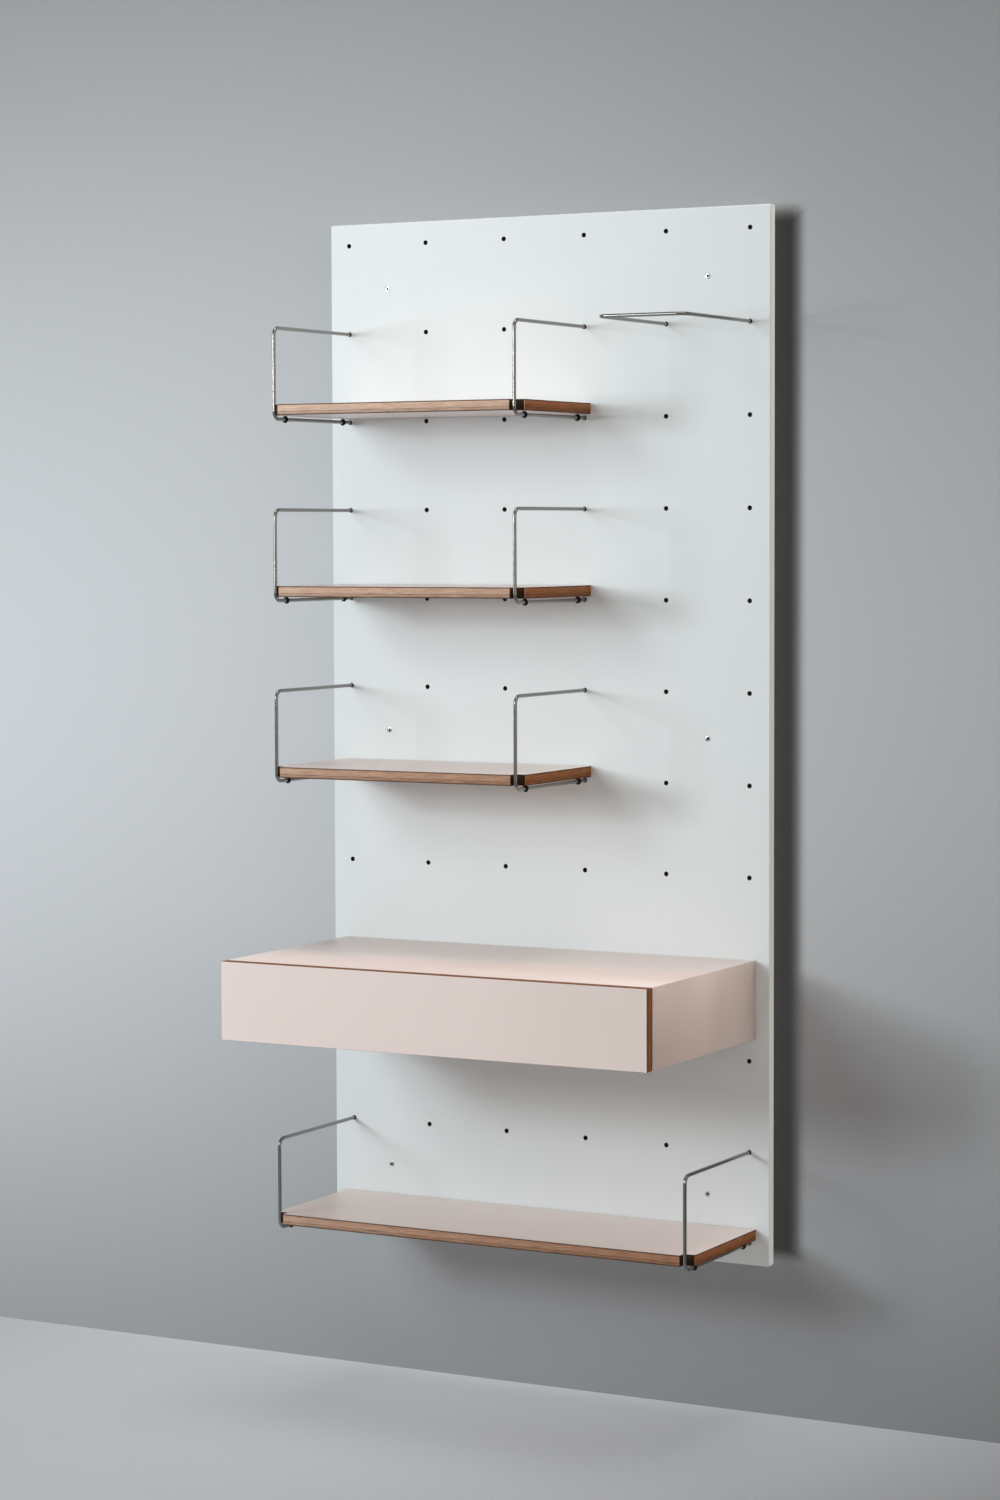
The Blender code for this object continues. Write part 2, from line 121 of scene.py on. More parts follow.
def build(name, parts, materials, body, stands_for=(), uv=None, sharp=None,
          tone=None):
    """Make one closed piece out of parts, each (points, faces, smooth, material).

    Shared points are merged and the faces turned outwards. `uv` is either
    a place for each corner of each face, or two directions and an offset,
    along which the map then measures metres. `tone` is a function that
    gives each face's tone from its middle and its normal.
    """
    counts = np.cumsum([0] + [len(p[0]) for p in parts])
    points = np.concatenate([p[0] for p in parts])
    faces, smooth, finish = [], [], []
    for first, (_, part_faces, is_smooth, index) in zip(counts, parts):
        faces += [[int(first) + int(i) for i in face] for face in part_faces]
        smooth += [is_smooth] * len(part_faces)
        finish += [index] * len(part_faces)
    mesh = bpy.data.meshes.new(name)
    mesh.from_pydata(points, [], faces)
    mesh.polygons.foreach_set("use_smooth", smooth)
    mesh.polygons.foreach_set("material_index", finish)
    for material in materials:
        mesh.materials.append(material)
    if isinstance(uv, np.ndarray):
        mesh.uv_layers.new(name="distance").data.foreach_set("uv", uv.ravel())
    bm = bmesh.new()
    bm.from_mesh(mesh)
    bmesh.ops.remove_doubles(bm, verts=bm.verts, dist=MERGE_WITHIN)
    bmesh.ops.recalc_face_normals(bm, faces=bm.faces)
    bm.to_mesh(mesh)
    bm.free()
    if sharp is not None:
        mesh.set_sharp_from_angle(angle=math.radians(sharp))
    if isinstance(uv, tuple):
        place = np.empty(len(mesh.vertices) * 3)
        mesh.vertices.foreach_get("co", place)
        corner = np.empty(len(mesh.loops), dtype=np.int32)
        mesh.loops.foreach_get("vertex_index", corner)
        along = place.reshape(-1, 3)[corner] @ np.stack(uv[:2], axis=-1) - np.array(uv[2])
        mesh.uv_layers.new(name="distance").data.foreach_set("uv", along.ravel())
    if tone is not None:
        middle = np.empty(len(mesh.polygons) * 3)
        mesh.polygons.foreach_get("center", middle)
        facing = np.empty(len(mesh.polygons) * 3)
        mesh.polygons.foreach_get("normal", facing)
        level = tone(middle.reshape(-1, 3), facing.reshape(-1, 3))
        mesh.attributes.new("tone", "FLOAT", "FACE").data.foreach_set("value", level)
    obj = bpy.data.objects.new(name, mesh)
    bpy.context.scene.collection.objects.link(obj)
    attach(obj, body)
    if stands_for:
        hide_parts(*stands_for)
    return obj


def body_of(node):
    """The moving body that a piece of the frame belongs to."""
    return next(body for body, nodes in bodies.items() if node in nodes)


class Recipe:
    """A material's nodes, written one after the other."""

    def __init__(self, name):
        self.material = bpy.data.materials.new(name)
        self.material.use_nodes = True
        self.tree = self.material.node_tree
        self.shader = self.tree.nodes["Principled BSDF"]
        self.place = self.tree.nodes.new("ShaderNodeTexCoord").outputs["Object"]

    def node(self, kind, **inputs):
        """Add a node. A socket given as an input is linked, a number is set."""
        new = self.tree.nodes.new("ShaderNode" + kind)
        for key, value in inputs.items():
            if hasattr(new, key):
                setattr(new, key, value)
                continue
            which = int(key[2:]) if key.startswith("in") else key.replace("_", " ")
            socket = new.inputs[which]
            if isinstance(value, bpy.types.NodeSocket):
                self.tree.links.new(value, socket)
            else:
                socket.default_value = value
        return new

    def sum(self, operation, *values):
        """A Math node on numbers or sockets."""
        return self.node("Math", operation=operation,
                         **{f"in{i}": value for i, value in enumerate(values)}).outputs[0]

    def noise(self, scale, detail=2.0, rough=0.5, stretch=(1, 1, 1), where=None):
        """Noise with a size of 1 / scale metres, from 0 to 1."""
        spot = self.node("Mapping", Vector=self.place if where is None else where,
                         Scale=stretch).outputs[0]
        return self.node("TexNoise", Vector=spot, Scale=scale, Detail=detail,
                         Roughness=rough).outputs[0]

    def ramp(self, value, *stops):
        """Colours or greys at positions along a value."""
        ramp = self.node("ValToRGB", Fac=value)
        elements = ramp.color_ramp.elements
        while len(elements) < len(stops):
            elements.new(0.5)
        for element, (position, colour) in zip(elements, stops):
            element.position = position
            element.color = (*colour, 1) if isinstance(colour, tuple) else (colour,) * 3 + (1,)
        return ramp.outputs[0]

    def mix(self, factor, first, second, blend="MIX"):
        """Two colours mixed by a factor."""
        mixed = self.tree.nodes.new("ShaderNodeMix")
        mixed.data_type, mixed.blend_type = "RGBA", blend
        for index, value in ((0, factor), (6, first), (7, second)):
            if isinstance(value, bpy.types.NodeSocket):
                self.tree.links.new(value, mixed.inputs[index])
            else:
                mixed.inputs[index].default_value = (*value, 1) if index else value
        return mixed.outputs[2]

    def between(self, value, low, high):
        """A value from 0 to 1 moved to lie between two others."""
        return self.node("MapRange", Value=value, To_Min=low, To_Max=high).outputs[0]

    def bumps(self, height, depth, strength=1.0):
        """Raise the surface by height x depth metres."""
        bump = self.node("Bump", Height=height, Distance=depth, Strength=strength)
        self.tree.links.new(bump.outputs[0], self.shader.inputs["Normal"])

    def finish(self, **sockets):
        """Set or link the shader's own sockets."""
        for key, value in sockets.items():
            socket = self.shader.inputs[key.replace("_", " ")]
            if isinstance(value, bpy.types.NodeSocket):
                self.tree.links.new(value, socket)
            else:
                socket.default_value = (*value, 1) if isinstance(value, tuple) else value
        return self.material


def white_lacquer():
    """Matte spray lacquer: faint orange peel and a slightly uneven gloss."""
    m = Recipe("white_lacquer")
    cloud = m.noise(2.2, 3.0)
    peel = m.noise(260.0, 2.0)
    m.bumps(peel, 0.00006)
    return m.finish(Base_Color=m.ramp(cloud, (0.3, (0.755, 0.792, 0.796)),
                                      (0.7, (0.780, 0.815, 0.818))),
                    Roughness=m.between(m.noise(9.0, 3.0), 0.42, 0.52),
                    Specular_IOR_Level=0.4)


def hole_shade():
    """Near black painted shade inside the drilled holes and screw sockets, with the drill's
    rings.
    """
    m = Recipe("hole_shade")
    rings = m.noise(900.0, 2.0, stretch=(0.1, 1, 0.1))
    m.bumps(rings, 0.0001)
    return m.finish(Base_Color=m.ramp(rings, (0.3, (0.006, 0.006, 0.006)),
                                      (0.7, (0.016, 0.015, 0.014))), Roughness=0.8)


WHITE_LACQUER = white_lacquer()
HOLE_SHADE = hole_shade()

board_low, board_high = box["board"]
columns = np.arange(board_low[0] + MARGIN, board_high[0], PITCH)
rows = np.arange(board_low[2] + MARGIN, board_high[2], PITCH)
peg_holes = np.array([(x, z) for z in rows for x in columns])
screw_nodes = [node for node in sorted(box) if node.startswith("wall_screw_")]
screw_holes = np.array([(box[n][0] + box[n][1])[[0, 2]] / 2 for n in screw_nodes])


def drilled_board():
    """The board's parts: two faces ruled into a grid, an edge and the bores.

    The grid has a line 10 mm to each side of every hole. A cell with a hole
    is four faces between its corners and the hole's lip. The edge profile
    goes round the grid's outline, turning about each corner point.
    """
    front, back = board_low[1], board_high[1]
    low = board_low[[0, 2]] + BOARD_CORNER
    high = board_high[[0, 2]] - BOARD_CORNER
    centres = np.concatenate([peg_holes, screw_holes])
    lines = [np.unique(np.round(np.concatenate(
        [[low[k]], centres[:, k] - LAND, centres[:, k] + LAND, [high[k]]]), 6))
        for k in (0, 1)]
    xs, zs = lines
    parts = []

    cell_x, cell_z = np.meshgrid((xs[1:] + xs[:-1]) / 2, (zs[1:] + zs[:-1]) / 2)
    cells = np.stack([cell_x.ravel(), cell_z.ravel()], axis=-1)
    near = np.abs(cells[:, None] - centres[None]).max(axis=2).min(axis=1)
    plain = near > LAND / 2
    px, pz = np.meshgrid(xs, zs)
    for y in (front, back):
        points = np.stack([px, np.full_like(px, y), pz], axis=-1).reshape(-1, 3)
        parts.append((points, grid(len(zs), len(xs))[plain], False, 0))

    sides = [(xs, np.full_like(xs, zs[0]), -Z), (np.full_like(zs, xs[-1]), zs, X),
             (xs[::-1], np.full_like(xs, zs[-1]), Z), (np.full_like(zs, xs[0]), zs[::-1], -X)]
    stations, outward = [], []
    for number, (x, z, normal) in enumerate(sides):
        following = sides[(number + 1) % 4][2]
        turn = np.linspace(0, math.pi / 2, 7)[1:-1, None]
        corner = np.stack([x, np.zeros_like(x), z], axis=-1)
        stations += [corner, np.repeat(corner[-1:], len(turn), axis=0)]
        outward += [np.repeat(normal[None], len(x), axis=0),
                    np.cos(turn) * normal + np.sin(turn) * following]
    stations, outward = np.concatenate(stations), np.concatenate(outward)
    quarter = rounded(BOARD_ARRIS, 5)
    inner = BOARD_CORNER - BOARD_ARRIS
    edge = np.concatenate([[(0, front)], quarter + (inner, front),
                           (quarter * (1, -1))[::-1] + (inner, back), [(0, back)]])
    points = carried(edge, stations, outward, Y)
    parts.append((points, grid(len(stations), len(edge), closed_rows=True), True, 0))

    sides = 32
    round_about = circle(sides, start=math.pi / 4)
    lip = rounded(HOLE_LIP, 2)
    peg_bore = np.concatenate([
        (lip * (-1, 1)) + (PEG_HOLE_RADIUS + HOLE_LIP, front),
        (lip * (-1, -1))[::-1] + (PEG_HOLE_RADIUS + HOLE_LIP, back)])
    head, shank = SUNK_HEAD_RADIUS, SUNK_SHANK_RADIUS
    sunk_bore = np.array([(head + 0.0001, front), (head, front + 0.0001),
                          (shank, front + head - shank), (shank, back - 0.0002),
                          (shank + 0.0002, back)])
    square = np.array([(1, 1), (-1, 1), (-1, -1), (1, -1)]) * LAND
    bores = [peg_bore] * len(peg_holes) + [sunk_bore] * len(screw_holes)
    for centre, bore in zip(centres, bores):
        middle = np.array([centre[0], 0, centre[1]])
        points = carried(bore, np.repeat(middle[None], sides, axis=0), round_about, Y)
        lips = grid(sides, len(bore), closed_rows=True).reshape(sides, len(bore) - 1, 4)
        painted = 2 if bore is peg_bore else 1
        parts.append((points, lips[:, :painted].reshape(-1, 4), True, 0))
        # Below the lip, the peg bores take the near-black painted shade.
        parts.append((points, lips[:, painted:].reshape(-1, 4), True,
                      1 if bore is peg_bore else 0))
        for y, ring in ((front, 0), (back, len(bore) - 1)):
            rim = points.reshape(sides, len(bore), 3)[:, ring]
            corners = np.stack([square[:, 0] + centre[0], np.full(4, y),
                                square[:, 1] + centre[1]], axis=-1)
            span = np.arange(sides // 4 + 1)
            faces = [[sides + k, sides + (k + 1) % 4,
                      *((k + 1) * sides // 4 - span) % sides] for k in range(4)]
            parts.append((np.concatenate([rim, corners]), faces, False, 0))
    return parts


build("pegboard", drilled_board(), [WHITE_LACQUER, HOLE_SHADE], "wall_board",
      ["board"])

# ------------------------------------------------------------ wall screws
# Six zinc plated countersunk wood screws hold the board to the wall. Each
# head has a six-sided socket, and the shank a rolled thread.

SOCKET_FLAT = 0.0021
SOCKET_DEPTH = 0.0018
THREAD_PITCH = 0.0025
THREAD_HEIGHT = 0.00055
THREAD_LENGTH = 0.040
THREAD_RUN_OUT = 0.003
POINT_LENGTH = 0.006
SHANK_RADIUS = 0.00225


def turned(profile, centre, sides=40, swell=None):
    """A profile of (radius, y) turned about an axis along Y.

    Point = centre + radius x (cos a, sin a) at height y. `swell` gives the
    radii instead, from the angle and the profile's own radius and height.
    """
    around = circle(sides)
    radius, y = np.asarray(profile, float).T
    radius = np.repeat(radius[None], sides, axis=0)
    if swell:
        angle = np.linspace(0, 2 * math.pi, sides, endpoint=False)[:, None]
        radius = swell(angle, radius, y[None])
    points = (radius[..., None] * around[:, None] + y[None, :, None] * Y
              + np.array([centre[0], 0, centre[2]]))
    return points.reshape(-1, 3), grid(sides, len(y), closed_rows=True)


def zinc_steel():
    """Bright zinc plate with its fine crystal mottling and dull handling."""
    m = Recipe("zinc_steel")
    spangle = m.node("TexVoronoi", Vector=m.place, Scale=420.0).outputs[1]
    grey = m.node("RGBToBW", Color=spangle).outputs[0]
    m.bumps(m.noise(1500.0, 3.0), 0.00003)
    return m.finish(Base_Color=m.ramp(grey, (0.1, (0.34, 0.342, 0.346)),
                                      (0.9, (0.48, 0.483, 0.488))),
                    Roughness=m.between(m.noise(130.0, 3.0), 0.28, 0.42), Metallic=1.0)


ZINC_STEEL = zinc_steel()


def hexagon(sides):
    """Radius of a hexagon at each angle, its flats at radius 1."""
    a = np.linspace(0, 2 * math.pi, sides, endpoint=False)
    return 1 / np.cos((a % (math.pi / 3)) - math.pi / 6)


def socket_head(outer, centre, sides=48):
    """Turn a piece whose profile starts with a hexagonal socket.

    The first four points are the socket's floor middle, its foot, its rim
    and the rim's outer edge. The second to fourth take the hexagon's shape.
    """
    points, faces = turned(outer, centre, sides)
    points = points.reshape(sides, -1, 3)
    middle = np.array([centre[0], 0, centre[2]])
    flat = points[:, 1:4] - middle
    flat[..., [0, 2]] *= hexagon(sides)[:, None, None]
    points[:, 1:4] = flat + middle
    return points.reshape(-1, 3), faces


def screw_parts(low, high):
    """Head with its socket in painted shade, plain neck and threaded shank of a wood screw.

    The thread's height is a triangle wave of (y / pitch - turn / 360), and
    fades out at both of its ends.
    """
    centre = (low + high) / 2
    top, tip = low[1], high[1]
    head = (high[0] - low[0]) / 2
    shank = SHANK_RADIUS
    neck = top + head - shank
    start = tip - THREAD_LENGTH
    floor = top + SOCKET_DEPTH
    plain = [(0, floor), (SOCKET_FLAT * 0.98, floor), (SOCKET_FLAT, top + 0.0002),
             (SOCKET_FLAT + 0.0002, top), (head - 0.0002, top), (head, top + 0.0001),
             (head - 0.0001, top + 0.0004), (shank, neck + 0.0002), (shank, start)]
    points, faces = socket_head(plain, centre)
    columns = faces.reshape(-1, len(plain) - 1, 4)
    # The socket's faces take the near-black painted shade.
    parts = [(points, columns[:, :2].reshape(-1, 4), True, 1),
             (points, columns[:, 2:].reshape(-1, 4), True, 0)]
    length = np.linspace(start, tip - 0.0002, 97)
    core = np.interp(length, [start, start + THREAD_RUN_OUT, tip - POINT_LENGTH, tip],
                     [shank, shank - THREAD_HEIGHT, shank - THREAD_HEIGHT, 0.0002])

    def thread(angle, radius, y):
        wave = (y / THREAD_PITCH - angle / (2 * math.pi)) % 1.0
        ridge = np.clip(1 - np.abs(wave - 0.5) * 3.2, 0, 1)
        fade = (np.clip((y - start) / THREAD_RUN_OUT, 0, 1)
                * np.clip((tip - y) / POINT_LENGTH, 0, 1))
        return np.minimum(radius + THREAD_HEIGHT * ridge * fade, shank)

    shaft = np.concatenate([[(shank, start)], np.stack([core, length], axis=-1)[1:],
                            [(0, tip)]])
    points, faces = turned(shaft, centre, 24, thread)
    parts.append((points, faces, True, 0))
    seam = [(shank, start), (0, start)]
    return parts + [(*turned(seam, centre, sides), False, 0) for sides in (48, 24)]


for node in screw_nodes:
    build("wood_screw_" + node.removeprefix("wall_screw_"), screw_parts(*box[node]),
          [ZINC_STEEL, HOLE_SHADE], body_of(node), [node], sharp=40)

# ------------------------------------------------------------ wall spacers
# A black nylon spacer round each screw keeps the board clear of the wall.
# It is a plain moulded tube with rounded rims.


def black_nylon():
    """Moulded nylon with a fine spark-eroded surface."""
    m = Recipe("black_nylon")
    grain = m.noise(1100.0, 3.0)
    m.bumps(grain, 0.00004)
    return m.finish(Base_Color=m.ramp(grain, (0.3, (0.020, 0.020, 0.021)),
                                      (0.7, (0.032, 0.032, 0.034))),
                    Roughness=m.between(m.noise(60.0), 0.42, 0.56))


BLACK_NYLON = black_nylon()
for node in sorted(box):
    if node.startswith("wall_spacer_"):
        low, high = box[node]
        outer, bore = (high[0] - low[0]) / 2, 0.003
        rim = rounded(0.0008, 3)
        hem = rounded(0.0003, 2)
        ring = np.concatenate([
            rim + (outer - 0.0008, low[1]),
            (rim * (1, -1))[::-1] + (outer - 0.0008, high[1]),
            (hem * (-1, -1)) + (bore + 0.0003, high[1]),
            (hem * (-1, 1))[::-1] + (bore + 0.0003, low[1])])
        points, _ = turned(ring, (low + high) / 2, 48)
        faces = grid(48, len(ring), closed_rows=True, closed_columns=True)
        build("nylon_" + node.removeprefix("wall_"), [(points, faces, True, 0)],
              [BLACK_NYLON], body_of(node), [node], sharp=30)

# ------------------------------------------------------------ bent wires
# Nine identical 6 mm stainless wires, each bent twice into a U and satin
# drawn along their length. Eight hang upright as brackets, and the ninth
# lies flat as a rail. Their straight ends stand in the peg holes.

WIRE_RADIUS = 0.003
BEND_RADIUS = 0.013
BEND_STEPS = 14
WIRE_SIDES = 28


def satin_steel():
    """Stainless wire drawn through a die: fine lines along its length."""
    m = Recipe("satin_steel")
    length = m.node("UVMap", uv_map="distance").outputs[0]
    lines = m.noise(1.0, 3.0, 0.6, stretch=(18, 5200, 1), where=length)
    wear = m.noise(38.0, 4.0)
    m.bumps(lines, 0.00002)
    tone = m.ramp(lines, (0.25, (0.205, 0.200, 0.190)), (0.75, (0.350, 0.342, 0.326)))
    return m.finish(Base_Color=tone, Metallic=1.0,
                    Roughness=m.sum("ADD", m.between(wear, 0.15, 0.24),
                                    m.sum("MULTIPLY", lines, 0.06)))


def wire_parts(start, finish, reach, bend):
    """A round wire along a U, given where its two ends are.

    Station = points of the U's middle line; circle of the wire = station +
    r (cos a x side + sin a x normal of the U's plane). The ends are domed.
    """
    across = finish - start
    span = np.linalg.norm(across)
    along = across / span
    out = -Y
    depth = reach - bend
    turn = np.linspace(0, math.pi / 2, BEND_STEPS + 1)[:, None]
    dome = np.array([0.0, 0.25, 0.6, 1.0]) * 0.0008
    size = np.array([0.0, 0.72, 0.93, 1.0])
    leg_in = start + out * dome[:, None]
    straight = start + out * np.linspace(dome[-1], depth, 14)[1:-1, None]
    first = start + out * depth + along * bend
    bend_in = first + bend * (np.sin(turn) * out - np.cos(turn) * along)
    bar = first + out * bend + along * np.linspace(0, span - 2 * bend, 10)[1:-1, None]
    second = finish + out * depth - along * bend
    bend_out = (second + bend * (np.sin(turn) * out + np.cos(turn) * along))[::-1]
    back = finish + out * np.linspace(dome[-1], depth, 14)[1:-1, None][::-1]
    leg_out = (finish + out * dome[:, None])[::-1]
    path = np.concatenate([leg_in, straight, bend_in, bar, bend_out, back, leg_out])
    scale = np.ones(len(path))
    scale[:4], scale[-4:] = size, size[::-1]
    tangent = np.gradient(path, axis=0)
    tangent /= np.linalg.norm(tangent, axis=1)[:, None]
    normal = np.cross(along, out)
    side = np.cross(normal, tangent)
    angle = np.linspace(0, 2 * math.pi, WIRE_SIDES, endpoint=False)
    ring = (np.cos(angle)[None, :, None] * side[:, None]
            + np.sin(angle)[None, :, None] * normal)
    points = path[:, None] + WIRE_RADIUS * scale[:, None, None] * ring
    return points.reshape(-1, 3), grid(len(path), WIRE_SIDES, closed_columns=True), path


def wire_map(path):
    """Lay the map along the wire: distance along it, and distance round it."""
    length = np.concatenate([[0], np.cumsum(np.linalg.norm(np.diff(path, axis=0), axis=1))])
    u = np.stack([length[:-1], length[:-1], length[1:], length[1:]], axis=-1)
    v = np.arange(WIRE_SIDES)
    v = np.stack([v, v + 1, v + 1, v], axis=-1) * (2 * math.pi * WIRE_RADIUS / WIRE_SIDES)
    return np.stack([np.repeat(u[:, None], WIRE_SIDES, axis=1),
                     np.repeat(v[None], len(path) - 1, axis=0)], axis=-1)


SATIN_STEEL = satin_steel()


def make_wire(name, node):
    """Make the wire that stands for a node, and say where its two ends are."""
    low, high = box[node]
    upright = high[2] - low[2] > high[0] - low[0]
    axis = 2 if upright else 0
    ends = np.stack([(low + high) / 2] * 2)
    ends[:, axis] = low[axis] + WIRE_RADIUS, high[axis] - WIRE_RADIUS
    ends[:, 1] = high[1]
    reach = high[1] - low[1] - WIRE_RADIUS
    points, faces, path = wire_parts(*ends, reach, BEND_RADIUS)
    build(name, [(points, faces, True, 0)], [SATIN_STEEL], body_of(node),
          [node], uv=wire_map(path))
    return ends


# ------------------------------------------------------------ hole sleeves
# Short black rubber sleeves round the wires' ends fill the peg holes. Their
# black ring in each hole's mouth is painted shade.

SLEEVE_OUTER = 0.00385
SLEEVE_LENGTH = 0.012
SLEEVE_PROUD = 0.0010


def black_rubber():
    """Soft black rubber, dusty in places."""
    m = Recipe("black_rubber")
    dust = m.noise(240.0, 4.0)
    m.bumps(m.noise(1400.0, 2.0), 0.00003)
    return m.finish(Base_Color=m.ramp(dust, (0.35, (0.010, 0.010, 0.010)),
                                      (0.75, (0.024, 0.023, 0.022))),
                    Roughness=m.between(dust, 0.58, 0.74), Specular_IOR_Level=0.22)


BLACK_RUBBER = black_rubber()


def sleeve_parts(axis):
    """A thin tube round a leg, its mouth a little proud of the board."""
    mouth = board_low[1] - SLEEVE_PROUD
    foot = mouth + SLEEVE_LENGTH
    rim = rounded(0.0004, 3)
    bore = WIRE_RADIUS + 0.00005
    ring = np.concatenate([rim + (SLEEVE_OUTER - 0.0004, mouth), [(SLEEVE_OUTER, foot)],
                           [(bore, foot), (bore, mouth + 0.0002), (bore + 0.0002, mouth)]])
    points, _ = turned(ring, axis, 28)
    return [(points, grid(28, len(ring), closed_rows=True, closed_columns=True), True, 0)]


wires = {node: node.replace("bracket_", "wire_") for node in sorted(box)
         if node.startswith("bracket_")}
wires["hanging_rail"] = "wire_rail"
for node, name in wires.items():
    for end, label in zip(make_wire(name, node), ("first", "second")):
        # Each sleeve's black stands for the shade in the peg hole's mouth.
        build(f"sleeve_{name.removeprefix('wire_')}_{label}", sleeve_parts(end),
              [BLACK_RUBBER], body_of(node), sharp=35)

# ------------------------------------------------------------ rubber rings
# Two black rubber rings on each lower leg carry the shelf and stop it from
# sliding. They are plain O-rings pushed over the wire.

RING_SIDES = 44
RING_SECTION_SIDES = 18
RING_GRIP = 0.00003


def ring_parts(low, high):
    """A torus round a leg: radius R + r cos b, place along the leg w sin b.

    It grips the wire, so R - r is the wire's own radius.
    """
    outer, width = (high[0] - low[0]) / 2, (high[1] - low[1]) / 2
    thickness = (outer - WIRE_RADIUS - RING_GRIP) / 2
    radius = outer - thickness
    b = np.linspace(0, 2 * math.pi, RING_SECTION_SIDES, endpoint=False)
    middle = (low + high) / 2
    profile = np.stack([radius + thickness * np.cos(b), middle[1] + width * np.sin(b)],
                       axis=-1)
    points, _ = turned(profile, middle, RING_SIDES)
    faces = grid(RING_SIDES, len(profile), closed_rows=True, closed_columns=True)
    return [(points, faces, True, 0)]


for node in sorted(box):
    if node.startswith("ring_"):
        build("rubber_" + node, ring_parts(*box[node]), [BLACK_RUBBER], body_of(node),
              [node])

# ------------------------------------------------------------ shelves
# Each shelf is 18 mm birch plywood, oiled at the edges, with a thin pink
# laminate on both faces. Its front corners are cut back to pass the wires.

LAMINATE = 0.0009
SHEET_EASE = 0.0003
PLY_LAYER = 0.00138
SHELF_CORNER = 0.0040
NOTCH_SIDE = 0.0075
NOTCH_BACK = 0.0150


def outline(corners, radii, steps=5):
    """A closed outline with rounded corners, as points and outward normals.

    Corner arc = centre + r x (the unit vectors from the foot on one side to
    the foot on the other), spaced by angle. Corners go anticlockwise.
    """
    corners = np.asarray(corners, float)
    radii = np.broadcast_to(np.asarray(radii, float), len(corners))[:, None]
    to_last = np.roll(corners, 1, axis=0) - corners
    to_next = np.roll(corners, -1, axis=0) - corners
    to_last /= np.linalg.norm(to_last, axis=1)[:, None]
    to_next /= np.linalg.norm(to_next, axis=1)[:, None]
    opening = np.arccos(np.clip((to_last * to_next).sum(1), -1, 1))[:, None]
    bisector = to_last + to_next
    bisector /= np.linalg.norm(bisector, axis=1)[:, None]
    centre = corners + bisector * radii / np.sin(opening / 2)
    foot = radii / np.tan(opening / 2)
    a = (corners + to_last * foot - centre) / radii
    b = (corners + to_next * foot - centre) / radii
    turn = math.pi - opening
    t = np.linspace(0, 1, steps + 1)[None, :, None]
    spread = (np.sin((1 - t) * turn[:, None]) * a[:, None]
              + np.sin(t * turn[:, None]) * b[:, None]) / np.sin(turn)[:, None]
    points = centre[:, None] + radii[:, None] * spread
    convex = to_next[:, 1] * to_last[:, 0] - to_next[:, 0] * to_last[:, 1] < 0
    outward = np.where(convex[:, None, None], spread, -spread)
    return points.reshape(-1, 2), outward.reshape(-1, 2)


def slab(flat, normals, bottom, top, plane, low_arris=0.0, high_arris=0.0):
    """A flat outline made thick, with its two arrises rounded.

    Point = outline + (offset, height) of the edge profile, where `plane`
    gives the outline's two directions and the direction of its thickness.
    """
    u, v, w = plane
    stations = flat[:, :1] * u + flat[:, 1:] * v
    outward = normals[:, :1] * u + normals[:, 1:] * v
    down = rounded(low_arris, 3) if low_arris else np.zeros((1, 2))
    up = rounded(high_arris, 3) if high_arris else np.zeros((1, 2))
    profile = np.concatenate([down + (-low_arris, bottom),
                              (up * (1, -1))[::-1] + (-high_arris, top)])
    points = carried(profile, stations, outward, w)
    size = len(profile)
    sides = grid(len(flat), size, closed_rows=True)
    count = np.arange(len(flat))
    caps = [(count * size)[::-1], count * size + size - 1]
    return [(points, sides, True, 0), (points, caps, False, 0)]


